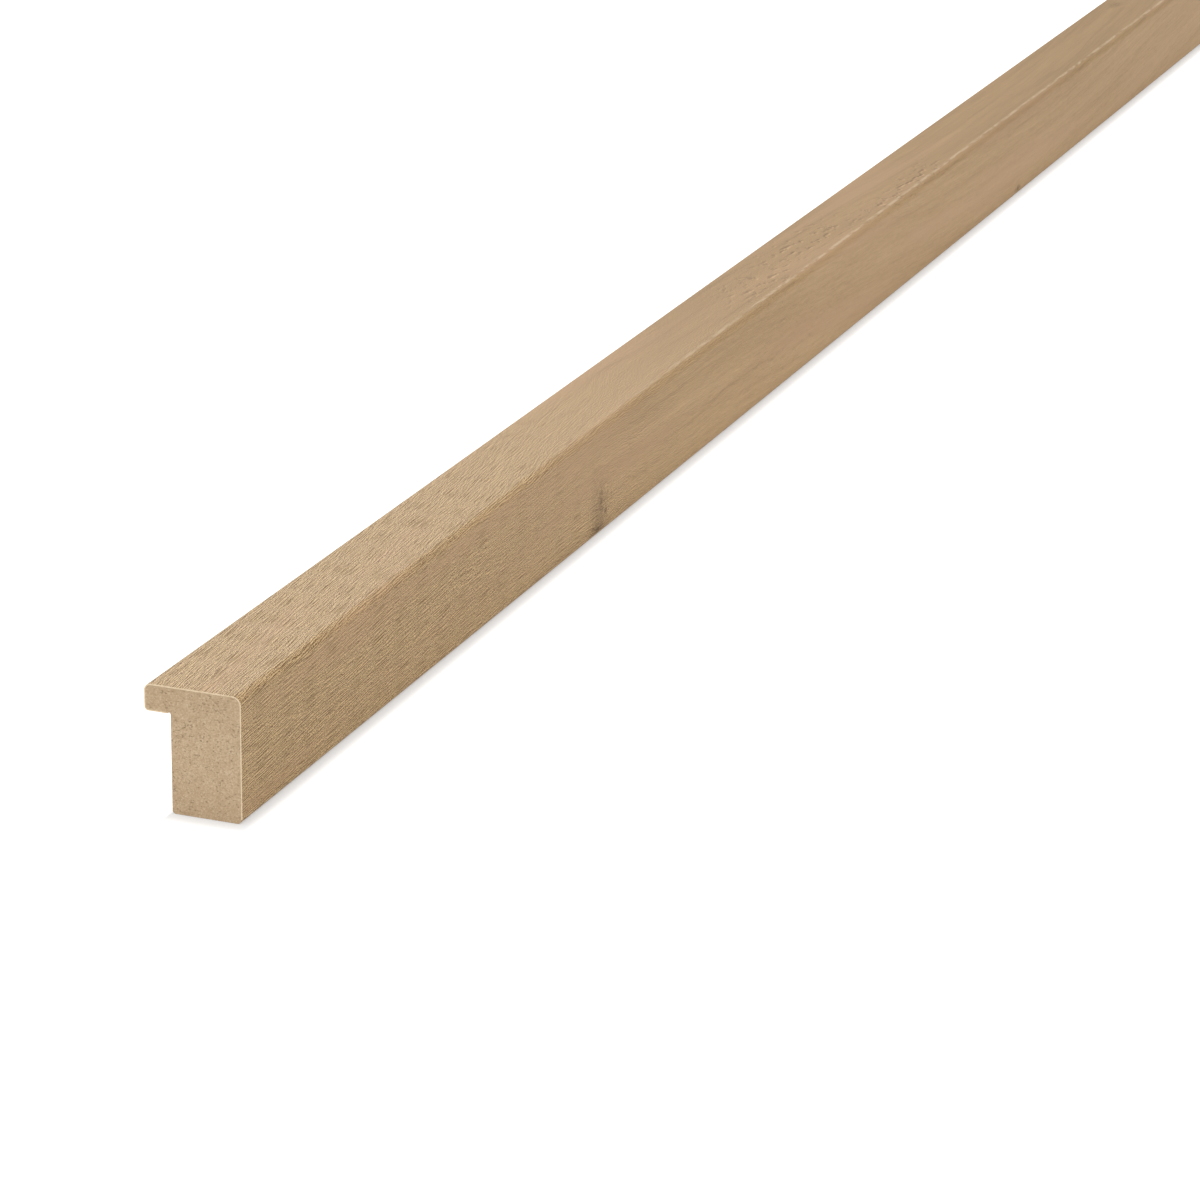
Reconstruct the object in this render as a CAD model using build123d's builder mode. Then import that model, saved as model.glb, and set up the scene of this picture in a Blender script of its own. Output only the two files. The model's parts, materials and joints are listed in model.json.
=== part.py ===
from build123d import *
import os

# End trim for wall panels: an L-shaped stick of fibreboard wrapped in a printed oak foil.
# X runs along the stick. The finished side faces -Y and the flange points to +Y, over the
# edge of the panel beside it. The back, which is glued to the wall, lies on Z = 0.
# The origin is at the middle of the stick, below the middle of its width.

# Stock length
stick_length = 2400.0

# Finished section, measured over the foil
foot_width = 16.0
flange_overhang = 6.0
rebate_height = 22.0
flange_thickness = 6.0

# Milled edges of the fibreboard
show_edge_radius = 1.7
nose_top_radius = 1.2
nose_bottom_radius = 0.6
back_edge_radius = 0.8
rebate_corner_radius = 0.5

# Foil, and the bare strip that is left where it is trimmed short of a milled edge
foil_thickness = 0.3
foil_trim_margin = 0.2

# Planes of the finished section
overall_width = foot_width + flange_overhang
overall_height = rebate_height + flange_thickness
finished_side_y = -overall_width / 2
rebate_wall_y = finished_side_y + foot_width
nose_y = overall_width / 2

# Faces of the fibreboard that lie under the foil
core_side_y = finished_side_y + foil_thickness
core_nose_y = nose_y - foil_thickness
core_top_z = overall_height - foil_thickness
core_flange_z = rebate_height + foil_thickness

# Where the foil is trimmed: above the back edge, and beside the corner of the rebate
foil_foot_z = back_edge_radius + foil_trim_margin
foil_lap_y = rebate_wall_y + rebate_corner_radius + foil_trim_margin

# Corners that the foil is wrapped round, with the radius of the fibreboard at each
wrapped_corners = [
    (core_side_y, core_top_z),
    (core_nose_y, core_top_z),
    (core_nose_y, core_flange_z),
]
wrapped_radii = [show_edge_radius, nose_top_radius, nose_bottom_radius]

# Corners that stay bare: the rebate's inner corner and the two edges of the back
bare_corners = [
    (rebate_wall_y, core_flange_z),
    (rebate_wall_y, 0),
    (core_side_y, 0),
]
bare_radii = [rebate_corner_radius, back_edge_radius, back_edge_radius]

# Fibreboard core, milled to the L-shaped section in one pass
with BuildPart() as mdf_core:
    with BuildSketch(Plane.YZ) as core_section:
        with BuildLine() as core_outline:
            FilletPolyline(
                *wrapped_corners,
                *bare_corners,
                radius=wrapped_radii + bare_radii,
                close=True,
            )
        make_face()
    extrude(amount=stick_length / 2, both=True)

# Oak foil, wrapped at an even thickness from the finished side to the underside of the flange
with BuildPart() as oak_foil:
    with BuildSketch(Plane.YZ) as foil_section:
        with BuildLine() as foil_outline:
            FilletPolyline(
                (core_side_y, foil_foot_z),
                *wrapped_corners,
                (foil_lap_y, core_flange_z),
                radius=wrapped_radii,
            )
            offset(amount=foil_thickness, side=Side.RIGHT)
        make_face()
    extrude(amount=stick_length / 2, both=True)

mdf_core.part.label = "mdf_core"
oak_foil.part.label = "oak_foil"

os.makedirs("parts", exist_ok=True)
export_step(mdf_core.part, "parts/mdf_core.step")
export_step(oak_foil.part, "parts/oak_foil.step")
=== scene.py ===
"""Looks of a wall panel end trim: raw fibreboard core, printed oak foil and a pale stage."""

import json
import math

import bpy
from bpy.props import FloatProperty, FloatVectorProperty, IntProperty, PointerProperty
from bpy.types import Operator, Panel, PropertyGroup
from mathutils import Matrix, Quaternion, Vector


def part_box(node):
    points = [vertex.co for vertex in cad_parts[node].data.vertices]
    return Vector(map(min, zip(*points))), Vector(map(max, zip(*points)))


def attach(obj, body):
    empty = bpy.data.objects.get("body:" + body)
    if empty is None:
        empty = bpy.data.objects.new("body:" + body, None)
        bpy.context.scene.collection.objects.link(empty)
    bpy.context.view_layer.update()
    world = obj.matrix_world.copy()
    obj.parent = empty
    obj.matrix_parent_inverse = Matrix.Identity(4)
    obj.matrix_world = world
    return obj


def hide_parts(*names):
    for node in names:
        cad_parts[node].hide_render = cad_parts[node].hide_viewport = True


bl_info = {
    "name": "Wall Panel End Trim",
    "version": (1, 0, 0),
    "blender": (4, 5, 0),
    "location": "View3D > Sidebar > End Trim",
    "description": "Makes the fibreboard core, the oak foil and the stage of a wall panel end trim",
    "category": "Object",
}

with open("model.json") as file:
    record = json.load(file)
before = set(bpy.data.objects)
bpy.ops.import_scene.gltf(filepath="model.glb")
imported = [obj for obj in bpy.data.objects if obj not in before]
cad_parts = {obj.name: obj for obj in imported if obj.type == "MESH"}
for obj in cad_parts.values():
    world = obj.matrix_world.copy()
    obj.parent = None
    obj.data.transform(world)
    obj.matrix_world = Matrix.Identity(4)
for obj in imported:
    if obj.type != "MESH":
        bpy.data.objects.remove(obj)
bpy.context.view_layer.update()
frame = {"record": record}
FOIL_LOW, FOIL_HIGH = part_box("oak_foil")
CORE_LOW, CORE_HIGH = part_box("mdf_core")
MOUNTS = {mount["name"]: mount["pos_m"] for mount in frame["record"]["mounts"]}

MM = 0.001
FLAT_MAP = "foil_flat"
BAKE_MAP = "OFBake"


def linear(red, green, blue):
    """An 8-bit screen colour as the linear values that shaders take."""
    shares = [value / 255 for value in (red, green, blue)]
    return tuple(v / 12.92 if v <= 0.04045 else ((v + 0.055) / 1.055) ** 2.4 for v in shares)


def size_property(name, description, default):
    return FloatProperty(
        name=name, description=description, default=default, min=0.0, precision=5,
        unit="LENGTH", subtype="DISTANCE",
    )


def colour_property(name, description, default):
    return FloatVectorProperty(
        name=name, description=description, default=default, min=0.0, max=1.0, size=3, subtype="COLOR"
    )


def share_property(name, description, default):
    return FloatProperty(
        name=name, description=description, default=default, min=0.0, max=1.0, subtype="FACTOR"
    )


def power_property(name, description, default):
    return FloatProperty(name=name, description=description, default=default, min=0.0, unit="POWER")


class TrimSizes(PropertyGroup):
    """Sizes of the stick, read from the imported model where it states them."""

    length: size_property("Length", "Length of the stick", FOIL_HIGH.x - FOIL_LOW.x)
    width: size_property("Width", "Width from the finished side to the nose", FOIL_HIGH.y - FOIL_LOW.y)
    height: size_property("Height", "Height from the back to the finished top", FOIL_HIGH.z - CORE_LOW.z)
    foot_width: size_property("Foot Width", "Width of the back", MOUNTS["rebate_wall"][1] - FOIL_LOW.y)
    rebate_height: size_property("Rebate Height", "Height under the flange", MOUNTS["flange_underside"][2])
    foil_thickness: size_property("Foil Thickness", "Thickness of the foil", CORE_LOW.y - FOIL_LOW.y)
    foil_foot: size_property("Foil Foot", "Height at which the foil is trimmed", FOIL_LOW.z)
    show_edge_radius: size_property("Show Edge Radius", "Core radius between side and top", 1.7 * MM)
    nose_top_radius: size_property("Nose Top Radius", "Core radius at the top of the nose", 1.2 * MM)
    nose_bottom_radius: size_property("Nose Bottom Radius", "Core radius under the nose", 0.6 * MM)
    back_edge_radius: size_property("Back Edge Radius", "Radius of the two back edges", 0.8 * MM)
    rebate_corner_radius: size_property("Rebate Corner Radius", "Radius inside the rebate", 0.5 * MM)
    foil_lap_gap: size_property("Foil Lap Gap", "Gap between the foil's lap and the rebate wall", 0.7 * MM)
    arc_segments: IntProperty(name="Arc Segments", description="Faces round each edge", default=14, min=2)
    length_segments: IntProperty(name="Length Segments", description="Faces along it", default=60, min=6)


class OakPrint(PropertyGroup):
    """Colours of the printed oak foil."""

    honey: colour_property("Honey", "Lighter wood between the growth lines", linear(198, 164, 120))
    straw: colour_property("Straw", "Darker wood beside the growth lines", linear(183, 149, 105))
    rose: colour_property("Rose", "Patches of redder wood", linear(196, 157, 120))
    late_wood: colour_property("Late Wood", "Growth lines and dark fibres", linear(152, 121, 81))
    pore: colour_property("Pore", "Embossed pores", linear(118, 86, 50))
    # Flank serves the print's pale fibres and the painted highlights on lit flanks
    flank: colour_property("Flank", "Pale fibres and the lit flank beside each pore", linear(229, 197, 147))
    knot: colour_property("Knot", "Heart of a knot", linear(82, 56, 24))
    film: colour_property("Film", "Cut edge of the foil", linear(236, 214, 180))
    pore_depth: size_property("Pore Depth", "Depth of the embossed pores", 0.05 * MM)


class Fibreboard(PropertyGroup):
    """Colours of the raw fibreboard."""

    board: colour_property("Board", "Pressed fibres", linear(199, 173, 140))
    shade: colour_property("Shade", "Denser clumps of fibre", linear(178, 150, 116))
    fibre: colour_property("Fibre", "Pale single fibres", linear(218, 195, 163))
    speck: colour_property("Speck", "Dark specks of bark", linear(112, 84, 54))
    sawn_relief: size_property("Sawn Relief", "Depth of the texture that a saw left", 0.05 * MM)
    milled_relief: size_property("Milled Relief", "Depth of the texture that a cutter left", 0.03 * MM)
    cutter_pitch: size_property("Cutter Pitch", "Distance between the cutter's faint waves", 1.8 * MM)
    cutter_run: FloatProperty(
        name="Cutter Run", description="How far a cutter draws the flecks out", default=3.0, min=1.0
    )


class Stage(PropertyGroup):
    """Floor, light and camera."""

    # Floor Glow and Glow Reach paint a shadow beside the stick: less white is added there than farther out
    floor_glow: share_property("Floor Glow", "White that is added to the floor beside the stick", 0.4)
    glow_reach: size_property("Glow Reach", "Distance from the stick at which the floor is white", 6.0 * MM)
    floor: colour_property("Floor", "Colour of the floor where it is seen", (0.6, 0.6, 0.6))
    bounce: colour_property("Bounce", "Colour of the light that the floor throws back", (0.75, 0.75, 0.75))
    ambient: FloatProperty(
        name="Ambient", description="Strength of the light from all round", default=0.77, min=0.0
    )
    near_power: power_property("Near Power", "Power of the lamp above the near end", 1.9)
    sheen_power: power_property("Sheen Power", "Power of the lamp that the finished top mirrors", 13.0)
    front_power: power_property("Front Power", "Power of the lamp before the near end", 4.0)
    lens: FloatProperty(
        name="Lens", description="Focal length in millimetres", default=127.45, subtype="DISTANCE_CAMERA"
    )


class NodeBench:
    """Adds nodes to one tree. A value given to a node may be a plain one or another node's socket."""

    COLUMNS = 12
    STEP = (190, -260)

    def __init__(self, tree):
        self.tree = tree

    def add(self, kind, *inputs, **settings):
        """A new node with its settings, and its first inputs fed in order."""
        node = self.tree.nodes.new(kind)
        count = len(self.tree.nodes)
        node.location = (count % self.COLUMNS * self.STEP[0], count // self.COLUMNS * self.STEP[1])
        for name, value in settings.items():
            setattr(node, name, value)
        for socket, value in zip(node.inputs, inputs):
            self.feed(socket, value)
        return node

    def feed(self, socket, value):
        if isinstance(value, bpy.types.NodeSocket):
            self.tree.links.new(value, socket)
        elif value is not None:
            socket.default_value = value

    def math(self, operation, *values):
        return self.add("ShaderNodeMath", *values, operation=operation).outputs[0]

    def vector(self, x=0.0, y=0.0, z=0.0):
        return self.add("ShaderNodeCombineXYZ", x, y, z).outputs[0]

    def split(self, vector):
        return self.add("ShaderNodeSeparateXYZ", vector).outputs

    def stretched(self, along, across, length, width, seed=0.0):
        """A place for a pattern whose marks have the given length and width."""
        return self.vector(self.math("DIVIDE", along, length), self.math("DIVIDE", across, width), seed)

    def squares(self, run, rise):
        return self.math("MULTIPLY_ADD", run, run, self.math("MULTIPLY", rise, rise))

    def bell(self, run, rise):
        """1 at the middle, fading like a bell over a reach of 1 along and across."""
        return self.math("EXPONENT", self.math("MULTIPLY", self.squares(run, rise), -1.0))

    def ramp(self, value, low, high, start=0.0, end=1.0):
        """A smooth step of the value, from start at low to end at high."""
        node = self.add("ShaderNodeMapRange", value, low, high, start, end, interpolation_type="SMOOTHSTEP")
        return node.outputs[0]

    def band(self, value, start, full, full_end, end):
        """1 from full to full_end, falling smoothly to 0 at start and end."""
        return self.math("MULTIPLY", self.ramp(value, start, full), self.ramp(value, end, full_end))

    def noise(self, vector, scale=1.0, detail=2.0, roughness=0.5):
        node = self.add("ShaderNodeTexNoise", noise_dimensions="3D")
        given = {"Vector": vector, "Scale": scale, "Detail": detail, "Roughness": roughness}
        for name, value in given.items():
            self.feed(node.inputs[name], value)
        return node.outputs["Fac"]

    def cells(self, vector):
        """Distance to the nearest of some scattered points, and that point's random colour."""
        node = self.add("ShaderNodeTexVoronoi", voronoi_dimensions="2D")
        self.feed(node.inputs["Vector"], vector)
        node.inputs["Scale"].default_value = 1.0
        return node.outputs["Distance"], node.outputs["Color"]

    def tint(self, share, below, above):
        """The colour below, covered by a share of the colour above."""
        node = self.add("ShaderNodeMix", data_type="RGBA", clamp_factor=True)
        for name, value in (("Factor_Float", share), ("A_Color", below), ("B_Color", above)):
            socket = next(s for s in node.inputs if s.identifier == name)
            self.feed(socket, value)
        return next(s for s in node.outputs if s.identifier == "Result_Color")

    def shades(self, value, *stops):
        """A run of colours, each given with the value at which it stands."""
        node = self.add("ShaderNodeValToRGB", value)
        elements = node.color_ramp.elements
        while len(elements) < len(stops):
            elements.new(1.0)
        for element, (position, colour) in zip(elements, stops):
            element.position = position
            element.color = colour
        return node.outputs["Color"]

    def bump(self, height, depth):
        """A normal from a height of 0 to 1 that stands for the given depth."""
        node = self.add("ShaderNodeBump")
        self.feed(node.inputs["Height"], height)
        node.inputs["Strength"].default_value = 1.0
        node.inputs["Distance"].default_value = depth
        return node.outputs[0]


def rgba(colour):
    return (*colour, 1.0)


def new_group(name, inputs, outputs):
    """A shader node group with named sockets, as its bench, its input sockets and its output node."""
    tree = bpy.data.node_groups.new(name, "ShaderNodeTree")
    for direction, sockets in (("INPUT", inputs), ("OUTPUT", outputs)):
        for socket_name, kind in sockets:
            tree.interface.new_socket(socket_name, in_out=direction, socket_type=kind)
    bench = NodeBench(tree)
    return bench, bench.add("NodeGroupInput").outputs, bench.add("NodeGroupOutput")


def use_group(bench, group, **values):
    """A group placed in a tree, with its inputs fed by name."""
    node = bench.add("ShaderNodeGroup", node_tree=group)
    for name, value in values.items():
        bench.feed(node.inputs[name.replace("_", " ").title()], value)
    return node.outputs


def new_material(name):
    """An empty node material, its bench and its Principled shader."""
    material = bpy.data.materials.new(name)
    material.use_nodes = True
    tree = material.node_tree
    shader = next(node for node in tree.nodes if node.type == "BSDF_PRINCIPLED")
    return material, NodeBench(tree), shader


# Oak foil

# Knots of the print: distance from the near end, height on the unrolled foil, length and width, all in
# millimetres, and how dark each is
KNOTS = (
    (206.4, 5.6, 10.0, 12.0, 0.42),
    (207.2, 8.0, 3.2, 7.0, 0.68),
    (205.0, 1.8, 8.0, 4.0, 0.8),
    (210.2, 5.0, 2.4, 3.0, 0.6),
    (593.0, 2.0, 5.0, 1.8, 0.7),
    (778.0, 43.0, 9.0, 3.0, 0.4),
    (1165.0, 35.0, 5.0, 4.5, 0.75),
    (1720.0, 12.0, 6.0, 4.0, 0.7),
    (2130.0, 41.0, 4.0, 3.0, 0.65),
)

# Curly stretches of the print: distance from the near end, height on the unrolled foil, reach along and
# across, all in millimetres, and strength
CURLS = (
    (352.0, 36.0, 26.0, 8.0, 0.8),
    (402.0, 39.0, 28.0, 6.0, 1.0),
    (460.0, 31.0, 30.0, 4.0, 1.0),
    (498.0, 32.0, 16.0, 5.0, 0.8),
    (345.0, 12.0, 60.0, 9.0, 0.35),
    (1010.0, 38.0, 60.0, 8.0, 0.8),
    (1480.0, 14.0, 70.0, 9.0, 0.5),
    (1900.0, 36.0, 60.0, 8.0, 0.8),
)

# Streaks of the wood, from the slowest to the finest: length and width in millimetres, and strength
STREAKS = (
    (260.0, 9.0, 0.3),
    (80.0, 2.6, 0.15),
    (28.0, 0.8, 0.2),
    (9.0, 0.22, 0.36),
)

# Fine marks: length along the grain and width across it, in millimetres
MOTTLE = (4.0, 1.1)
FIBRE = (5.2, 0.26)
GRIT = (0.4, 0.2)
SWIRL = (6.5, 2.2)
# Breaks in the painted highlight along the rounded edge
HIGHLIGHT_BREAKS = (9.0, 2.0)
PORE_LENGTH = 12.0
PORE_WIDTH = 0.32

# How far the painted highlight on a mark's lit flank lies beside the mark's dark part, in millimetres
FIBRE_FLANK = 0.14
SWIRL_FLANK = 0.7
PORE_FLANK = 0.15

# How strongly the fine marks show
MOTTLE_STRENGTH = 0.16
# Strength of the painted light and shade on the embossed fibres
FIBRE_STRENGTH = 5.2
GRIT_STRENGTH = 5.4
# Strength of the curls' dark fibres and their painted highlight
SWIRL_STRENGTH = 0.3
PORE_STRENGTH = 0.6
# Strength of the painted highlight beside each pore
LIT_STRENGTH = 0.5
# Strength of the painted highlight along the rounded edge
HIGHLIGHT_STRENGTH = 0.4

# Long waves of the grain and stretches of close fibres: the length over which each repeats in the print, in
# millimetres, and its phase at the near end. A wave swings the grain aside by so many millimetres.
WAVE_REPEAT = 760
WAVE_PHASE = -0.33
WAVE_SWING = 8.0
CLOSE_REPEAT = 1300
CLOSE_PHASE = -0.2

# Width of a growth ring, in millimetres
RING_WIDTH = 4.6

# Heights on the unrolled foil, in millimetres: the rounded edge, the painted highlight along it, and the
# painted shade below that
ROUND_EDGE = (26.0, 29.0)
PAINTED_HIGHLIGHT_LINE = (28.3, 28.8, 29.2, 29.9)
SHADED_LINE = (25.6, 27.0, 27.6, 28.1)


def knot_group():
    """Darkness of one knot, and how far it pushes the grain aside."""
    names = ("Along", "Across", "Knot Along", "Knot Across", "Length", "Width", "Strength")
    bench, source, sink = new_group(
        "Oak Knot",
        [(name, "NodeSocketFloat") for name in names],
        [("Darkness", "NodeSocketFloat"), ("Push", "NodeSocketFloat")],
    )
    along = bench.math("SUBTRACT", source["Along"], source["Knot Along"])
    across = bench.math("SUBTRACT", source["Across"], source["Knot Across"])
    run = bench.math("DIVIDE", along, source["Length"])
    rise = bench.math("DIVIDE", across, source["Width"])
    reach = bench.math("SQRT", bench.squares(run, rise))
    place = bench.vector(source["Along"], source["Across"])
    ragged = bench.noise(place, scale=0.9, detail=3.0, roughness=0.7)
    edge = bench.math("MULTIPLY_ADD", ragged, 2.4, bench.math("SUBTRACT", reach, 1.2))
    bench.feed(sink.inputs["Darkness"], bench.ramp(edge, 1.0, -0.2, 0.0, source["Strength"]))
    # The grain swings round the knot over a few of its lengths
    fade = bench.bell(bench.math("DIVIDE", run, 3.2), bench.math("DIVIDE", rise, 1.7))
    bench.feed(sink.inputs["Push"], bench.math("MULTIPLY", bench.math("MULTIPLY", across, 0.12), fade))
    return bench.tree


def grain_group(knot):
    """Unrolled place on the foil, in millimetres, as a place along and across the grain."""
    bench, source, sink = new_group(
        "Oak Grain",
        [("Flat", "NodeSocketVector")],
        [("Along", "NodeSocketFloat"), ("Across", "NodeSocketFloat"), ("Knots", "NodeSocketFloat")],
    )
    along, height, _ = bench.split(source["Flat"])
    # Long waves of the print, which repeat along the stick
    wave = bench.math("SINE", bench.math("MULTIPLY_ADD", along, 2 * math.pi / WAVE_REPEAT, WAVE_PHASE))
    drift = bench.math("MULTIPLY", wave, WAVE_SWING)
    # Wander of the fibres
    slow = bench.noise(bench.stretched(along, height, 110, 26), detail=1.0)
    quick = bench.noise(bench.stretched(along, height, 24, 9, 7.0), detail=1.0)
    drift = bench.math("MULTIPLY_ADD", slow, 4.0, drift)
    drift = bench.math("MULTIPLY_ADD", quick, 1.3, drift)
    darkness = 0.0
    for knot_along, knot_across, length, width, strength in KNOTS:
        mark = use_group(
            bench, knot, along=along, across=height, knot_along=knot_along, knot_across=knot_across,
            length=length, width=width, strength=strength,
        )
        drift = bench.math("ADD", drift, mark["Push"])
        darkness = bench.math("MAXIMUM", darkness, mark["Darkness"])
    bench.feed(sink.inputs["Along"], along)
    bench.feed(sink.inputs["Across"], bench.math("SUBTRACT", height, drift))
    bench.feed(sink.inputs["Knots"], darkness)
    return bench.tree


def pore_group():
    """Mask of the short dashes that the oak's pores make, at a place along and across the grain."""
    bench, source, sink = new_group(
        "Oak Pores",
        [(n, "NodeSocketFloat") for n in ("Along", "Across", "Length", "Width", "Density")],
        [("Mask", "NodeSocketFloat")],
    )
    place = bench.stretched(source["Along"], source["Across"], source["Length"], source["Width"])
    distance, colour = bench.cells(place)
    chance = bench.math("ADD", bench.split(colour)[0], source["Density"])
    size = bench.ramp(chance, 0.75, 1.7, 0.0, 0.38)
    bench.feed(sink.inputs["Mask"], bench.ramp(bench.math("SUBTRACT", size, distance), -0.02, 0.12))
    return bench.tree


class OakGrain:
    """Place along and across the grain of the print, and where its fibres lie close or calm."""

    def __init__(self, bench):
        flat = bench.add("ShaderNodeVectorMath", operation="SCALE")
        bench.feed(flat.inputs[0], bench.add("ShaderNodeUVMap", uv_map=FLAT_MAP).outputs[0])
        bench.feed(flat.inputs["Scale"], 1 / MM)
        grain = use_group(bench, grain_group(knot_group()), flat=flat.outputs[0])
        self.bench = bench
        self.along, self.across, self.knots = grain["Along"], grain["Across"], grain["Knots"]
        self.unrolled, self.height, _ = bench.split(flat.outputs[0])
        turn = bench.math("MULTIPLY_ADD", self.along, 2 * math.pi / CLOSE_REPEAT, CLOSE_PHASE)
        repeat = bench.math("COSINE", turn)
        self.closeness = bench.math("POWER", bench.math("MULTIPLY_ADD", repeat, 0.46, 0.54), 4.2)
        self.calm = bench.ramp(self.closeness, 0.6, 0.1)
        self.top = bench.ramp(self.height, *ROUND_EDGE)
        self.calm_top = bench.math("MULTIPLY", self.top, self.calm)

    def noise(self, length, width, seed, shift=0.0, detail=1.0, roughness=0.5):
        """Noise drawn out along the grain, with its length and width in millimetres."""
        aside = self.bench.math("ADD", self.across, shift)
        place = self.bench.stretched(self.along, aside, length, width, seed)
        return self.bench.noise(place, detail=detail, roughness=roughness)


def streak_tone(bench, grain):
    """Tone of the streaks and of the side's mottle, and the finest fibres by themselves."""
    streaks, fibres = 0.0, None
    for seed, (length, width, strength) in enumerate(STREAKS):
        fibres = grain.noise(length, width, seed * 3.0, detail=2.0, roughness=0.55)
        streaks = bench.math("MULTIPLY_ADD", bench.math("SUBTRACT", fibres, 0.5), strength, streaks)
    share = bench.math("MULTIPLY_ADD", grain.calm_top, -0.45, 1.0)
    tone = bench.math("MULTIPLY_ADD", streaks, share, 0.5)
    mottle = bench.math("SUBTRACT", grain.noise(*MOTTLE, seed=61.0, detail=3.0, roughness=0.7), 0.5)
    mottle = bench.math("MULTIPLY", mottle, bench.math("SUBTRACT", 1.0, grain.top))
    return bench.math("MULTIPLY_ADD", mottle, MOTTLE_STRENGTH, tone), fibres


def emboss_tone(bench, grain, tone):
    """Adds embossed fibres with painted shade and highlight on their flanks, and grit. Gives the fibres'
    ridges too.
    """
    ridge = grain.noise(*FIBRE, seed=17.0)
    flank = grain.noise(*FIBRE, seed=17.0, shift=FIBRE_FLANK)
    depth = bench.math("MULTIPLY", grain.closeness, bench.math("MULTIPLY_ADD", grain.top, 0.4, 1.0))
    # Painted light and shade: each fibre is lit on one flank and shaded on the other
    emboss = bench.math("MULTIPLY", bench.math("SUBTRACT", ridge, flank), depth)
    emboss = bench.math("MULTIPLY", emboss, grain.closeness)
    tone = bench.math("MULTIPLY_ADD", emboss, FIBRE_STRENGTH, tone)
    grit = bench.math("SUBTRACT", grain.noise(*GRIT, seed=23.0), 0.5)
    return bench.math("MULTIPLY_ADD", bench.math("MULTIPLY", grit, depth), GRIT_STRENGTH, tone), ridge


def curl_tone(bench, grain, tone):
    """Adds the curls: dark curled fibres of the print, each with a painted highlight on one flank."""
    curly = 0.0
    for curl_along, curl_height, reach_along, reach_height, strength in CURLS:
        run = bench.math("DIVIDE", bench.math("SUBTRACT", grain.unrolled, curl_along), reach_along)
        rise = bench.math("DIVIDE", bench.math("SUBTRACT", grain.height, curl_height), reach_height)
        curly = bench.math("MULTIPLY_ADD", bench.bell(run, rise), strength, curly)
    swirl = bench.ramp(grain.noise(*SWIRL, seed=41.0, detail=4.0, roughness=0.72), 0.53, 0.64)
    flank = grain.noise(*SWIRL, seed=41.0, shift=SWIRL_FLANK, detail=4.0, roughness=0.72)
    flank = bench.ramp(flank, 0.55, 0.66)
    # Painted highlight on the flank beside each dark curl
    curl = bench.math("MULTIPLY", bench.math("SUBTRACT", flank, swirl), curly)
    return bench.math("MULTIPLY_ADD", curl, SWIRL_STRENGTH, tone)


def ring_tone(bench, grain, tone):
    """Adds the growth lines: each ring darkens towards its late wood."""
    bend = grain.noise(190, 12.0, seed=3.0, detail=2.0)
    rings = bench.math("MULTIPLY_ADD", bend, 3.0, bench.math("DIVIDE", grain.across, RING_WIDTH))
    line = bench.band(bench.math("FRACT", rings), 0.68, 0.95, 0.95, 1.0)
    strength = bench.ramp(grain.noise(140, 6.0, seed=5.0), 0.35, 0.7, 0.0, 0.16)
    strength = bench.math("MULTIPLY", strength, bench.math("MULTIPLY_ADD", grain.closeness, 0.7, 0.3))
    return bench.math("SUBTRACT", tone, bench.math("MULTIPLY", line, strength))


def edge_tone(bench, grain, tone):
    """Paints shade on the rounded edge's lower half and on the calm stretches of the top. Gives the painted
    highlight along the rounded edge too.
    """
    # Painted shade on the lower half of the rounded edge
    tone = bench.math("MULTIPLY_ADD", bench.band(grain.height, *SHADED_LINE), -0.06, tone)
    # Painted shade: the top is darker in its calm stretches, for light that falls off away from the near end
    tone = bench.math("MULTIPLY_ADD", grain.calm_top, -0.13, tone)
    # Painted highlight along the rounded edge, broken in places
    broken = bench.ramp(grain.noise(*HIGHLIGHT_BREAKS, seed=51.0, detail=4.0, roughness=0.65), 0.38, 0.6)
    painted_highlight = bench.math("MULTIPLY", bench.band(grain.height, *PAINTED_HIGHLIGHT_LINE), broken)
    return tone, bench.math("MULTIPLY", painted_highlight, grain.calm)


def pore_masks(bench, grain):
    """Pores, close in some stretches and few in others, and the lit flank beside each for a painted
    highlight.
    """
    patchy = grain.noise(50, 2.4, seed=11.0, detail=2.0)
    patchy = bench.math("MULTIPLY_ADD", patchy, 0.6, -0.3)
    given = {
        "along": grain.along,
        "length": PORE_LENGTH,
        "width": PORE_WIDTH,
        "density": bench.math("MULTIPLY_ADD", grain.closeness, 0.66, patchy),
    }
    pores = pore_group()
    dash = use_group(bench, pores, across=grain.across, **given)["Mask"]
    beside = bench.math("ADD", grain.across, PORE_FLANK)
    lit = use_group(bench, pores, across=beside, **given)["Mask"]
    return dash, bench.math("MULTIPLY", lit, bench.math("SUBTRACT", 1.0, dash))


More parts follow.
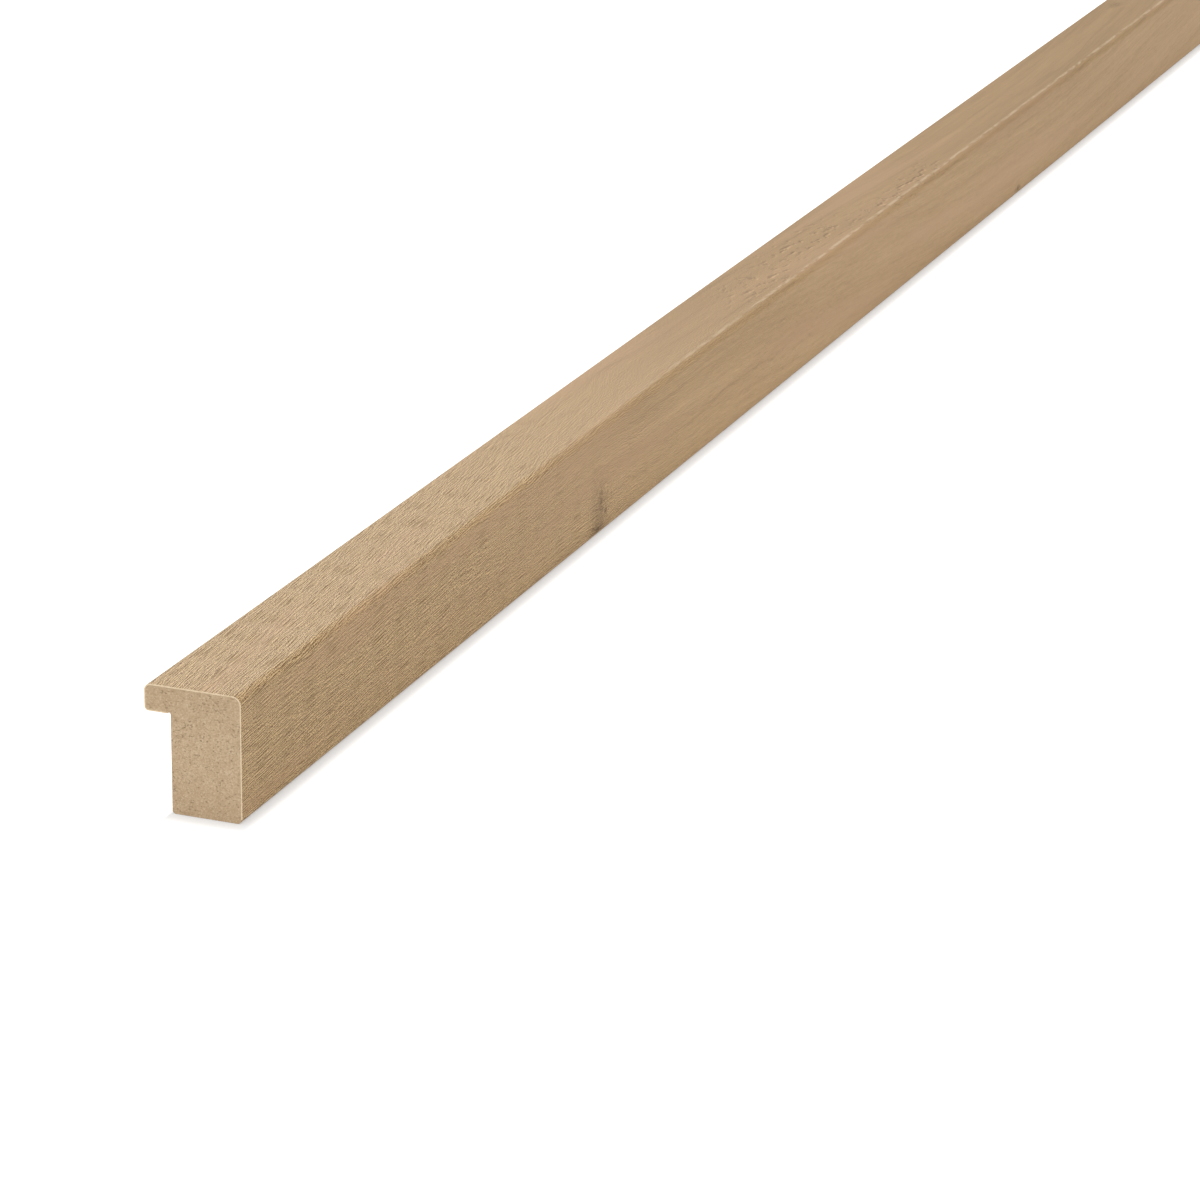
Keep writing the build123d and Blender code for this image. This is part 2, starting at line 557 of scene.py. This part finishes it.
def oak_material(colours):
    """Printed oak with growth lines, fibres, knots and embossed pores."""
    material, bench, shader = new_material("printed_oak")
    grain = OakGrain(bench)
    tone, fibres = streak_tone(bench, grain)
    tone, ridge = emboss_tone(bench, grain, tone)
    tone = ring_tone(bench, grain, curl_tone(bench, grain, tone))
    tone, painted_highlight = edge_tone(bench, grain, tone)
    colour = bench.shades(
        tone,
        (0.05, rgba(colours.pore)),
        (0.26, rgba(colours.late_wood)),
        (0.43, rgba(colours.straw)),
        (0.57, rgba(colours.honey)),
        (0.86, rgba(colours.flank)),
    )
    blush = grain.noise(130, 10.0, seed=31.0)
    colour = bench.tint(bench.ramp(blush, 0.45, 0.75, 0.0, 0.4), colour, rgba(colours.rose))
    dash, lit = pore_masks(bench, grain)
    # Painted highlight on the lit flank beside each pore
    colour = bench.tint(bench.math("MULTIPLY", lit, LIT_STRENGTH), colour, rgba(colours.flank))
    colour = bench.tint(bench.math("MULTIPLY", dash, PORE_STRENGTH), colour, rgba(colours.pore))
    # Painted highlight along the rounded edge, in the pale colour of the foil's cut edge
    colour = bench.tint(bench.math("MULTIPLY", painted_highlight, HIGHLIGHT_STRENGTH), colour, rgba(colours.film))
    colour = bench.tint(grain.knots, colour, rgba(colours.knot))
    bench.feed(shader.inputs["Base Color"], colour)
    satin = bench.ramp(fibres, 0.3, 0.7, 0.54, 0.64)
    bench.feed(shader.inputs["Roughness"], bench.math("MULTIPLY_ADD", dash, 0.16, satin))
    relief = bench.math("SUBTRACT", bench.math("MULTIPLY", ridge, grain.closeness), dash)
    bench.feed(shader.inputs["Normal"], bench.bump(relief, colours.pore_depth))
    shader.inputs["IOR"].default_value = 1.45
    shader.inputs["Specular IOR Level"].default_value = 0.25
    return material


def film_material(colours):
    """Cut edge of the foil: the pale base film under the print."""
    material, bench, shader = new_material("foil_cut_edge")
    place = bench.add("ShaderNodeTexCoord").outputs["Object"]
    flecks = bench.noise(place, scale=1.2 / MM, detail=2.0)
    colour = bench.tint(bench.ramp(flecks, 0.35, 0.8, 0.0, 0.45), rgba(colours.film), rgba(colours.straw))
    bench.feed(shader.inputs["Base Color"], colour)
    bench.feed(shader.inputs["Roughness"], bench.ramp(flecks, 0.2, 0.8, 0.55, 0.75))
    return material


# Fibreboard core


def flecks_group():
    """Clumps, fibres and specks of raw fibreboard, which lie flat in the board, at a place in millimetres."""
    bench, source, sink = new_group(
        "Fibreboard Flecks",
        [("Place", "NodeSocketVector")],
        [(n, "NodeSocketFloat") for n in ("Clumps", "Fibres", "Specks")],
    )

    def flattened(size, thickness):
        node = bench.add("ShaderNodeMapping", source["Place"])
        node.inputs["Scale"].default_value = (1 / size, 1 / size, 1 / thickness)
        return node.outputs[0]

    bench.feed(sink.inputs["Clumps"], bench.noise(flattened(2.4, 1.5), detail=4.0, roughness=0.72))
    bench.feed(sink.inputs["Fibres"], bench.noise(flattened(0.5, 0.4), detail=2.0, roughness=0.8))
    patches = bench.noise(flattened(4.0, 2.6), detail=2.0)
    ragged = bench.noise(flattened(0.7, 0.4), detail=3.0, roughness=0.7)
    ragged = bench.math("MULTIPLY_ADD", patches, 0.2, ragged)
    bench.feed(sink.inputs["Specks"], bench.ramp(ragged, 0.69, 0.77))
    return bench.tree


def board_material(name, colours, flecks, relief_depth, middle, run=1.0, pitch=None):
    """Raw fibreboard, palest at the middle of its height, with its texture at the given depth.

    Where a cutter passed, its flecks are drawn out by run, and the cutter left a faint wave at each pitch.
    """
    material, bench, shader = new_material(name)
    place = bench.add("ShaderNodeMapping", bench.add("ShaderNodeTexCoord").outputs["Object"])
    place.inputs["Scale"].default_value = (1 / (MM * run), 1 / MM, 1 / MM)
    place = place.outputs[0]
    marks = use_group(bench, flecks, place=place)
    colour = bench.shades(
        marks["Clumps"], (0.2, rgba(colours.shade)), (0.5, rgba(colours.board)), (0.85, rgba(colours.fibre))
    )
    depth = bench.math("ABSOLUTE", bench.math("SUBTRACT", bench.split(place)[2], middle / MM))
    colour = bench.tint(bench.ramp(depth, 2.0, 14.0, 0.0, 0.3), colour, rgba(colours.shade))
    colour = bench.tint(bench.ramp(marks["Fibres"], 0.5, 0.34, 0.0, 0.85), colour, rgba(colours.shade))
    colour = bench.tint(bench.ramp(marks["Fibres"], 0.5, 0.7, 0.0, 0.85), colour, rgba(colours.fibre))
    colour = bench.tint(bench.math("MULTIPLY", marks["Specks"], 0.55), colour, rgba(colours.speck))
    bench.feed(shader.inputs["Base Color"], colour)
    bench.feed(shader.inputs["Roughness"], bench.ramp(marks["Fibres"], 0.3, 0.7, 0.78, 0.92))
    relief = bench.math("SUBTRACT", marks["Fibres"], marks["Specks"])
    if pitch:
        turns = 2 * math.pi * run * MM / pitch
        wave = bench.math("SINE", bench.math("MULTIPLY", bench.split(place)[0], turns))
        relief = bench.math("MULTIPLY_ADD", wave, 0.35, relief)
    bench.feed(shader.inputs["Normal"], bench.bump(relief, relief_depth))
    return material


# Sections and sweeps

# Bake maps, in shares of the map. The stick is cut in equal lengths, which lie in bands above each other,
# with thin strips over them. Two numbers together are the size of a strip or of an end, and its start.
BAKE_BANDS = 6
BAND_FILL = 0.97
CORE_BANDS_TOP = 0.78
CORE_END_ACROSS = (0.2, 0.15)
CORE_END_UP = (0.16, 0.8)
CORE_END_STEP = 0.3
UNDER_FOIL_UP = (0.012, 0.98)
FOIL_BANDS_TOP = 0.95
GLUED_UP = (0.006, 0.953)
TRIM_UP = (0.01, 0.963)
TRIM_RISE = 0.006
CUT_UP = (0.012, 0.984)
CUT_RUN = 0.48
CUT_STEP = 0.5

# Bends at which the smooth shading breaks, and the share of an arc's step below which a rounded edge runs out
SQUARE_BEND = math.radians(30)
LEAST_BEND = math.radians(0.5)
RUN_OUT_SHARE = 0.75

# Distance within which the foil's two faces are joined at their edges
MERGE_DISTANCE = 0.002 * MM


def core_corners(sizes):
    """Corners of the fibreboard's section, each with its radius."""
    side = -sizes.width / 2 + sizes.foil_thickness
    nose = sizes.width / 2 - sizes.foil_thickness
    wall = -sizes.width / 2 + sizes.foot_width
    top = sizes.height - sizes.foil_thickness
    flange = sizes.rebate_height + sizes.foil_thickness
    return [
        (side, 0.0, sizes.back_edge_radius),
        (wall, 0.0, sizes.back_edge_radius),
        (wall, flange, sizes.rebate_corner_radius),
        (nose, flange, sizes.nose_bottom_radius),
        (nose, top, sizes.nose_top_radius),
        (side, top, sizes.show_edge_radius),
    ]


def foil_corners(sizes):
    """Corners of the foil's outer face, from its foot on the finished side to its lap under the flange."""
    side, nose = -sizes.width / 2, sizes.width / 2
    lap = side + sizes.foot_width + sizes.foil_lap_gap
    return [
        (side, sizes.foil_foot, 0.0),
        (side, sizes.height, sizes.show_edge_radius + sizes.foil_thickness),
        (nose, sizes.height, sizes.nose_top_radius + sizes.foil_thickness),
        (nose, sizes.rebate_height, sizes.nose_bottom_radius + sizes.foil_thickness),
        (lap, sizes.rebate_height, 0.0),
    ]


def section_object(name, corners, closed):
    """An outline of straight edges through the corners, with each corner's radius as an attribute.

    It lies in the XY plane, turned half round, as a sweep along X takes it.
    """
    mesh = bpy.data.meshes.new(name)
    edges = [(i, i + 1) for i in range(len(corners) - 1)]
    if closed:
        edges.append((len(corners) - 1, 0))
    mesh.from_pydata([(-y, -z, 0.0) for y, z, _ in corners], edges, [])
    radius = mesh.attributes.new("corner_radius", "FLOAT", "POINT")
    radius.data.foreach_set("value", [r for _, _, r in corners])
    section = bpy.data.objects.new(name, mesh)
    bpy.context.scene.collection.objects.link(section)
    return section


def girth(corners, closed):
    """Length round a section whose square corners are rounded."""
    points = [(y, z) for y, z, _ in corners]
    ends = points[1:] + points[:1] if closed else points[1:]
    straight = sum(math.dist(start, end) for start, end in zip(points, ends))
    return straight - sum(radius * (2 - math.pi / 2) for _, _, radius in corners)


def sweep_tree(name, inputs):
    """A Geometry Nodes tree that sweeps a section along the stick, with more inputs as given."""
    tree = bpy.data.node_groups.new(name, "GeometryNodeTree")
    tree.interface.new_socket("Section", in_out="INPUT", socket_type="NodeSocketGeometry")
    sockets = [(n, "NodeSocketFloat") for n in ("Length", "Girth")]
    sockets += [(n, "NodeSocketInt") for n in ("Arc Segments", "Length Segments")]
    for socket_name, kind in sockets + inputs:
        tree.interface.new_socket(socket_name, in_out="INPUT", socket_type=kind)
    tree.interface.new_socket("Piece", in_out="OUTPUT", socket_type="NodeSocketGeometry")
    return tree


def capture(bench, geometry, value, name):
    """Keeps a value of the geometry for later nodes."""
    node = bench.add("GeometryNodeCaptureAttribute", geometry)
    node.capture_items.new("FLOAT", name)
    bench.feed(node.inputs[1], value)
    return node.outputs[0], node.outputs[1]


def swept_section(bench, source, caps):
    """The swept mesh, with each point's distance along the stick and round the section."""
    radius = bench.add("GeometryNodeInputNamedAttribute", "corner_radius", data_type="FLOAT").outputs[0]
    outline = bench.add("GeometryNodeMeshToCurve", source["Section"]).outputs[0]
    rounded = bench.add(
        "GeometryNodeFilletCurve", outline, source["Arc Segments"], radius, False, mode="POLY"
    ).outputs[0]
    half = bench.math("MULTIPLY", source["Length"], 0.5)
    start = bench.vector(bench.math("MULTIPLY", half, -1.0))
    rail = bench.add("GeometryNodeCurvePrimitiveLine", start, bench.vector(half), mode="POINTS").outputs[0]
    stations = bench.math("ADD", source["Length Segments"], 1)
    rail = bench.add("GeometryNodeResampleCurve", rail, None, stations, mode="COUNT").outputs[0]
    distance = bench.add("GeometryNodeSplineParameter").outputs["Length"]
    rounded, around = capture(bench, rounded, distance, "Around")
    rail, along = capture(bench, rail, distance, "Along")
    mesh = bench.add("GeometryNodeCurveToMesh", rail, rounded, 1.0, caps).outputs[0]
    return mesh, along, around


def crisp_edges(bench, source, mesh):
    """Breaks the smooth shading at square edges, and where a rounded edge runs out into a flat."""
    angle = bench.add("GeometryNodeInputMeshEdgeAngle").outputs["Unsigned Angle"]
    arc_step = bench.math("DIVIDE", math.pi / 2, source["Arc Segments"])
    square = bench.math("GREATER_THAN", angle, SQUARE_BEND)
    bent = bench.math("GREATER_THAN", angle, LEAST_BEND)
    runs_out = bench.math("LESS_THAN", angle, bench.math("MULTIPLY", arc_step, RUN_OUT_SHARE))
    sharp = bench.math("MAXIMUM", square, bench.math("MULTIPLY", bent, runs_out))
    return bench.add("GeometryNodeSetShadeSmooth", mesh, sharp, False, domain="EDGE").outputs[0]


def on_domain(bench, value, domain):
    """A value averaged over the faces, or over the points, of a mesh."""
    return bench.add("GeometryNodeFieldOnDomain", value, domain=domain, data_type="FLOAT").outputs[0]


def face_normal(bench):
    """The three parts of each face's own normal."""
    normal = bench.add("GeometryNodeInputNormal").outputs[0]
    return [on_domain(bench, part, "FACE") for part in bench.split(normal)]


def choose(bench, condition, otherwise, chosen):
    return bench.add("GeometryNodeSwitch", condition, otherwise, chosen, input_type="VECTOR").outputs[0]


def banded_place(bench, source, along, around, height):
    """Place on the bake map of a stick that is cut in equal lengths, laid in bands up to the given height."""
    lengths = bench.math("MULTIPLY", bench.math("DIVIDE", along, source["Length"]), BAKE_BANDS)
    band = bench.math("FLOOR", on_domain(bench, lengths, "FACE"))
    rise = bench.math("MULTIPLY_ADD", bench.math("DIVIDE", around, source["Girth"]), BAND_FILL, band)
    rise = bench.math("MULTIPLY", rise, height / BAKE_BANDS)
    return bench.vector(bench.math("SUBTRACT", lengths, band), rise)


def store_map(bench, mesh, name, place):
    return bench.add(
        "GeometryNodeStoreNamedAttribute", mesh, True, name, place, data_type="FLOAT2", domain="CORNER"
    ).outputs[0]


def make_piece(name, section, tree, values):
    """Runs the tree on the section and keeps the result as a plain mesh."""
    modifier = section.modifiers.new(name, "NODES")
    modifier.node_group = tree
    for item in tree.interface.items_tree:
        if item.item_type == "SOCKET" and item.in_out == "INPUT" and item.name in values:
            modifier[item.identifier] = values[item.name]
    graph = bpy.context.evaluated_depsgraph_get()
    mesh = bpy.data.meshes.new_from_object(
        section.evaluated_get(graph), preserve_all_data_layers=True, depsgraph=graph
    )
    if not mesh.polygons:
        raise RuntimeError(f"{name} has no faces")
    section.modifiers.remove(modifier)
    outline = section.data
    section.data = mesh
    bpy.data.meshes.remove(outline)
    mesh.name = section.name = name
    return section


def core_tree():
    """Core: the closed section swept and capped, with the sawn ends in a finish of their own."""
    inputs = [
        ("Height", "NodeSocketFloat"),
        ("Milled", "NodeSocketMaterial"),
        ("Sawn", "NodeSocketMaterial"),
    ]
    tree = sweep_tree("Fibreboard Sweep", inputs)
    bench = NodeBench(tree)
    source = bench.add("NodeGroupInput").outputs
    mesh, along, around = swept_section(bench, source, True)
    mesh = bench.add("GeometryNodeSetMaterial", mesh, True, source["Milled"]).outputs[0]
    facing, sideways, _ = face_normal(bench)
    ends = bench.math("GREATER_THAN", bench.math("ABSOLUTE", facing), 0.5)
    mesh = bench.add("GeometryNodeSetMaterial", mesh, ends, source["Sawn"]).outputs[0]
    # Bake map: bands of the stick, a strip for the side under the foil, and the sawn ends beside each other
    _, y, z = bench.split(bench.add("GeometryNodeInputPosition").outputs[0])
    across = bench.math("MULTIPLY_ADD", bench.math("DIVIDE", y, source["Height"]), *CORE_END_ACROSS)
    across = bench.math("MULTIPLY_ADD", bench.math("GREATER_THAN", facing, 0.0), CORE_END_STEP, across)
    upward = bench.math("DIVIDE", z, source["Height"])
    end_place = bench.vector(across, bench.math("MULTIPLY_ADD", upward, *CORE_END_UP))
    run = bench.math("DIVIDE", along, source["Length"])
    strip = bench.vector(run, bench.math("MULTIPLY_ADD", upward, *UNDER_FOIL_UP))
    under_foil = bench.math("LESS_THAN", sideways, -0.99)
    place = choose(bench, under_foil, banded_place(bench, source, along, around, CORE_BANDS_TOP), strip)
    mesh = store_map(bench, mesh, BAKE_MAP, choose(bench, ends, place, end_place))
    mesh = crisp_edges(bench, source, mesh)
    mesh = bench.add("GeometryNodeRealizeInstances", mesh).outputs[0]
    bench.add("NodeGroupOutput", mesh)
    return tree


def foil_tree():
    """Foil: the open line swept to a sheet, unrolled on its map, and given its thickness inwards."""
    inputs = [
        ("Foot", "NodeSocketFloat"),
        ("Thickness", "NodeSocketFloat"),
        ("Print", "NodeSocketMaterial"),
        ("Cut Edge", "NodeSocketMaterial"),
    ]
    tree = sweep_tree("Foil Wrap", inputs)
    bench = NodeBench(tree)
    source = bench.add("NodeGroupInput").outputs
    sheet, along, around = swept_section(bench, source, False)
    sheet = bench.add("GeometryNodeFlipFaces", sheet).outputs[0]
    flat = bench.vector(along, bench.math("ADD", around, source["Foot"]))
    sheet = store_map(bench, sheet, FLAT_MAP, flat)
    sheet = store_map(bench, sheet, BAKE_MAP, banded_place(bench, source, along, around, FOIL_BANDS_TOP))
    sheet = bench.add("GeometryNodeSetMaterial", sheet, True, source["Print"]).outputs[0]
    inward = bench.math("MULTIPLY", source["Thickness"], -1.0)
    wall = bench.add("GeometryNodeExtrudeMesh", sheet, True, None, inward, False, mode="FACES")
    glued = wall.outputs["Top"]
    wall = bench.add("GeometryNodeFlipFaces", wall.outputs[0]).outputs[0]
    # Bake map: thin strips for the glued face, the two long trims and the two cut ends
    inner = bench.math("GREATER_THAN", on_domain(bench, glued, "POINT"), 0.01)
    facing = face_normal(bench)[0]
    run = bench.math("DIVIDE", along, source["Length"])
    turn = bench.math("DIVIDE", around, source["Girth"])
    glued_place = bench.vector(run, bench.math("MULTIPLY_ADD", turn, *GLUED_UP))
    trim = bench.math("MULTIPLY_ADD", turn, *TRIM_UP)
    trim_place = bench.vector(run, bench.math("MULTIPLY_ADD", inner, TRIM_RISE, trim))
    far_end = bench.math("MULTIPLY", bench.math("GREATER_THAN", facing, 0.0), CUT_STEP)
    cut_place = bench.vector(
        bench.math("MULTIPLY_ADD", turn, CUT_RUN, far_end), bench.math("MULTIPLY_ADD", inner, *CUT_UP)
    )
    cut = bench.math("GREATER_THAN", bench.math("ABSOLUTE", facing), 0.5)
    place = choose(bench, glued, choose(bench, cut, trim_place, cut_place), glued_place)
    wall = store_map(bench, wall, BAKE_MAP, place)
    wall = bench.add("GeometryNodeSetMaterial", wall, True, source["Cut Edge"]).outputs[0]
    joined = bench.add("GeometryNodeJoinGeometry")
    bench.feed(joined.inputs[0], wall)
    bench.feed(joined.inputs[0], sheet)
    solid = bench.add("GeometryNodeMergeByDistance", joined.outputs[0], True, MERGE_DISTANCE).outputs[0]
    solid = crisp_edges(bench, source, solid)
    solid = bench.add("GeometryNodeRealizeInstances", solid).outputs[0]
    bench.add("NodeGroupOutput", solid)
    return tree


class TRIM_OT_core(Operator):
    """Make the fibreboard core with its milled faces and sawn ends"""

    bl_idname = "trim.core"
    bl_label = "Fibreboard Core"

    def execute(self, context):
        sizes, colours = context.scene.trim_sizes, context.scene.trim_fibreboard
        flecks = flecks_group()
        middle = sizes.height / 2
        corners = core_corners(sizes)
        values = {
            "Length": sizes.length,
            "Girth": girth(corners, True),
            "Arc Segments": sizes.arc_segments,
            "Length Segments": sizes.length_segments,
            "Height": sizes.height,
            "Milled": board_material(
                "milled_fibreboard", colours, flecks, colours.milled_relief, middle,
                run=colours.cutter_run, pitch=colours.cutter_pitch,
            ),
            "Sawn": board_material("sawn_fibreboard", colours, flecks, colours.sawn_relief, middle),
        }
        section = section_object("core_section", corners, True)
        core = make_piece("fibreboard_core", section, core_tree(), values)
        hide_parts("mdf_core")
        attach(core, "root")
        return {"FINISHED"}


class TRIM_OT_foil(Operator):
    """Wrap the printed oak foil round the core"""

    bl_idname = "trim.foil"
    bl_label = "Oak Foil"

    def execute(self, context):
        sizes, colours = context.scene.trim_sizes, context.scene.trim_oak
        corners = foil_corners(sizes)
        values = {
            "Length": sizes.length,
            "Girth": girth(corners, False),
            "Arc Segments": sizes.arc_segments,
            "Length Segments": sizes.length_segments,
            "Foot": sizes.foil_foot,
            "Thickness": sizes.foil_thickness,
            "Print": oak_material(colours),
            "Cut Edge": film_material(colours),
        }
        section = section_object("foil_line", corners, False)
        foil = make_piece("wrapped_oak_foil", section, foil_tree(), values)
        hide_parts("oak_foil")
        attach(foil, "root")
        return {"FINISHED"}


# Stage

# How fast the floor and its painted shadow turn white on the rebate's side and before the ends, as shares of
# the finished side's
REBATE_LIGHT = 4.0
END_LIGHT = 0.55

# Floor: half its width in metres, and how far it lies below the stick
FLOOR_HALF = 6.0
FLOOR_DROP = 0.1 * MM

# Lamps: place and target, from the middle of the near end, and size, in metres
NEAR_LAMP = ((0.13, 0.06, 1.2), (0.13, 0.06, 0.0), (0.16, 0.1))
SHEEN_LAMP = ((0.9, 0.6, 1.0), (0.0, 0.0, 0.0), (0.7, 0.5))
FRONT_LAMP = ((-1.3, 0.05, 0.45), (0.0, 0.0, 0.0), (0.7, 0.4))

# Camera: place from the foot of the finished side at the near end, in millimetres, turns in degrees, and the
# sensor's width in millimetres
CAMERA_PLACE = (-733.2, -353.2, 333.6)
CAMERA_YAW = 20.58
CAMERA_PITCH = 19.27
CAMERA_ROLL = 0.87
SENSOR_WIDTH = 36.0

WHITE = (1.0, 1.0, 1.0, 1.0)


def seen_or_mirrored(bench):
    """1 where the camera, a gloss or a glass sees a surface, and 0 where it only gives light."""
    path = bench.add("ShaderNodeLightPath").outputs
    mirrored = bench.math("MAXIMUM", path["Is Glossy Ray"], path["Is Transmission Ray"])
    return bench.math("MAXIMUM", path["Is Camera Ray"], mirrored)


def floor_material(stage, sizes):
    """A pale floor that keeps the stick's shadow, with a painted shadow beside it, and reads as white away
    from it.
    """
    material = bpy.data.materials.new("pale_floor")
    material.use_nodes = True
    tree = material.node_tree
    tree.nodes.clear()
    bench = NodeBench(tree)
    seen = seen_or_mirrored(bench)
    body = bench.tint(seen, rgba(stage.bounce), rgba(stage.floor))
    matt = bench.add("ShaderNodeBsdfDiffuse", body).outputs[0]
    along, across, _ = bench.split(bench.add("ShaderNodeTexCoord").outputs["Object"])
    past_end = bench.math("SUBTRACT", bench.math("ABSOLUTE", along), sizes.length / 2)
    past_end = bench.math("MULTIPLY", past_end, END_LIGHT)
    past_side = bench.math("SUBTRACT", -sizes.width / 2, across)
    past_wall = bench.math("SUBTRACT", across, sizes.foot_width - sizes.width / 2)
    past_foot = bench.math("MAXIMUM", past_side, bench.math("MULTIPLY", past_wall, REBATE_LIGHT))
    away = bench.math("MAXIMUM", past_end, past_foot)
    # Painted shadow: the added white is least at the stick and full at the glow reach
    glow = bench.ramp(away, 0.0, stage.glow_reach, stage.floor_glow, 1.0)
    white = bench.add("ShaderNodeEmission", WHITE, bench.math("MULTIPLY", seen, glow)).outputs[0]
    bench.add("ShaderNodeOutputMaterial", bench.add("ShaderNodeAddShader", matt, white).outputs[0])
    return material


def make_floor(stage, sizes):
    """A square floor under the stick."""
    signs = ((-1, -1), (1, -1), (1, 1), (-1, 1))
    corners = [(x * FLOOR_HALF, y * FLOOR_HALF, -FLOOR_DROP) for x, y in signs]
    mesh = bpy.data.meshes.new("floor")
    mesh.from_pydata(corners, [], [(0, 1, 2, 3)])
    mesh.materials.append(floor_material(stage, sizes))
    floor = bpy.data.objects.new("floor", mesh)
    bpy.context.scene.collection.objects.link(floor)


def make_world(stage):
    """White where it is seen, and an even soft light everywhere else."""
    world = bpy.data.worlds.new("studio")
    bpy.context.scene.world = world
    world.use_nodes = True
    tree = world.node_tree
    tree.nodes.clear()
    bench = NodeBench(tree)
    soft = bench.add("ShaderNodeBackground", WHITE, stage.ambient).outputs[0]
    white = bench.add("ShaderNodeBackground", WHITE, 1.0).outputs[0]
    mixed = bench.add("ShaderNodeMixShader", seen_or_mirrored(bench), soft, white).outputs[0]
    bench.add("ShaderNodeOutputWorld", mixed)


def make_lamp(name, near, layout, power, sheen=False):
    """A soft rectangular lamp that faces its target. It lights matt surfaces, or else only gives a sheen."""
    (x, *place), (target_x, *target), size = layout
    light = bpy.data.lights.new(name, "AREA")
    light.shape = "RECTANGLE"
    light.size, light.size_y = size
    light.energy = power
    lamp = bpy.data.objects.new(name, light)
    lamp.location = (near + x, *place)
    aim = Vector((near + target_x, *target)) - Vector((near + x, *place))
    lamp.rotation_euler = aim.to_track_quat("-Z", "Y").to_euler()
    lamp.visible_camera = False
    lamp.visible_glossy = sheen
    lamp.visible_diffuse = not sheen
    bpy.context.scene.collection.objects.link(lamp)


def make_camera(stage, sizes):
    """A long lens from before the near end, on the finished side, a little above the stick."""
    yaw, pitch, roll = (math.radians(turn) for turn in (CAMERA_YAW, CAMERA_PITCH, CAMERA_ROLL))
    near_end = Vector((-sizes.length / 2, -sizes.width / 2, 0.0))
    ahead = Vector((math.cos(pitch) * math.cos(yaw), math.cos(pitch) * math.sin(yaw), -math.sin(pitch)))
    data = bpy.data.cameras.new("camera")
    data.lens = stage.lens
    data.sensor_width = SENSOR_WIDTH
    data.clip_start = 0.01
    camera = bpy.data.objects.new("camera", data)
    camera.location = near_end + Vector(CAMERA_PLACE) * MM
    level = ahead.to_track_quat("-Z", "Y")
    camera.rotation_euler = (level @ Quaternion((0.0, 0.0, 1.0), roll)).to_euler()
    bpy.context.scene.collection.objects.link(camera)
    bpy.context.scene.camera = camera


class TRIM_OT_stage(Operator):
    """Set out the pale floor, the soft lamps and the camera"""

    bl_idname = "trim.stage"
    bl_label = "Stage"

    def execute(self, context):
        stage, sizes = context.scene.trim_stage, context.scene.trim_sizes
        near = -sizes.length / 2
        context.scene.view_settings.view_transform = "Standard"
        make_floor(stage, sizes)
        make_world(stage)
        make_lamp("near", near, NEAR_LAMP, stage.near_power)
        make_lamp("sheen", near, SHEEN_LAMP, stage.sheen_power, sheen=True)
        make_lamp("front", near, FRONT_LAMP, stage.front_power)
        make_camera(stage, sizes)
        return {"FINISHED"}


class TRIM_PT_panel(Panel):
    """Lists the pieces of the end trim"""

    bl_idname = "TRIM_PT_panel"
    bl_label = "End Trim"
    bl_space_type = "VIEW_3D"
    bl_region_type = "UI"
    bl_category = "End Trim"

    def draw(self, context):
        for operator in OPERATORS:
            self.layout.operator(operator.bl_idname)
        for name in SETTINGS:
            settings = getattr(context.scene, name)
            box = self.layout.box()
            for key in settings.__annotations__:
                box.prop(settings, key)


SETTINGS = {"trim_sizes": TrimSizes, "trim_oak": OakPrint, "trim_fibreboard": Fibreboard, "trim_stage": Stage}
OPERATORS = (TRIM_OT_core, TRIM_OT_foil, TRIM_OT_stage)
CLASSES = (*SETTINGS.values(), *OPERATORS, TRIM_PT_panel)


def register():
    for cls in CLASSES:
        bpy.utils.register_class(cls)
    for name, group in SETTINGS.items():
        setattr(bpy.types.Scene, name, PointerProperty(type=group))


def unregister():
    for name in SETTINGS:
        delattr(bpy.types.Scene, name)
    for cls in reversed(CLASSES):
        bpy.utils.unregister_class(cls)


def main():
    register()
    bpy.ops.trim.core()
    bpy.ops.trim.foil()
    bpy.ops.trim.stage()


if __name__ == "__main__":
    main()
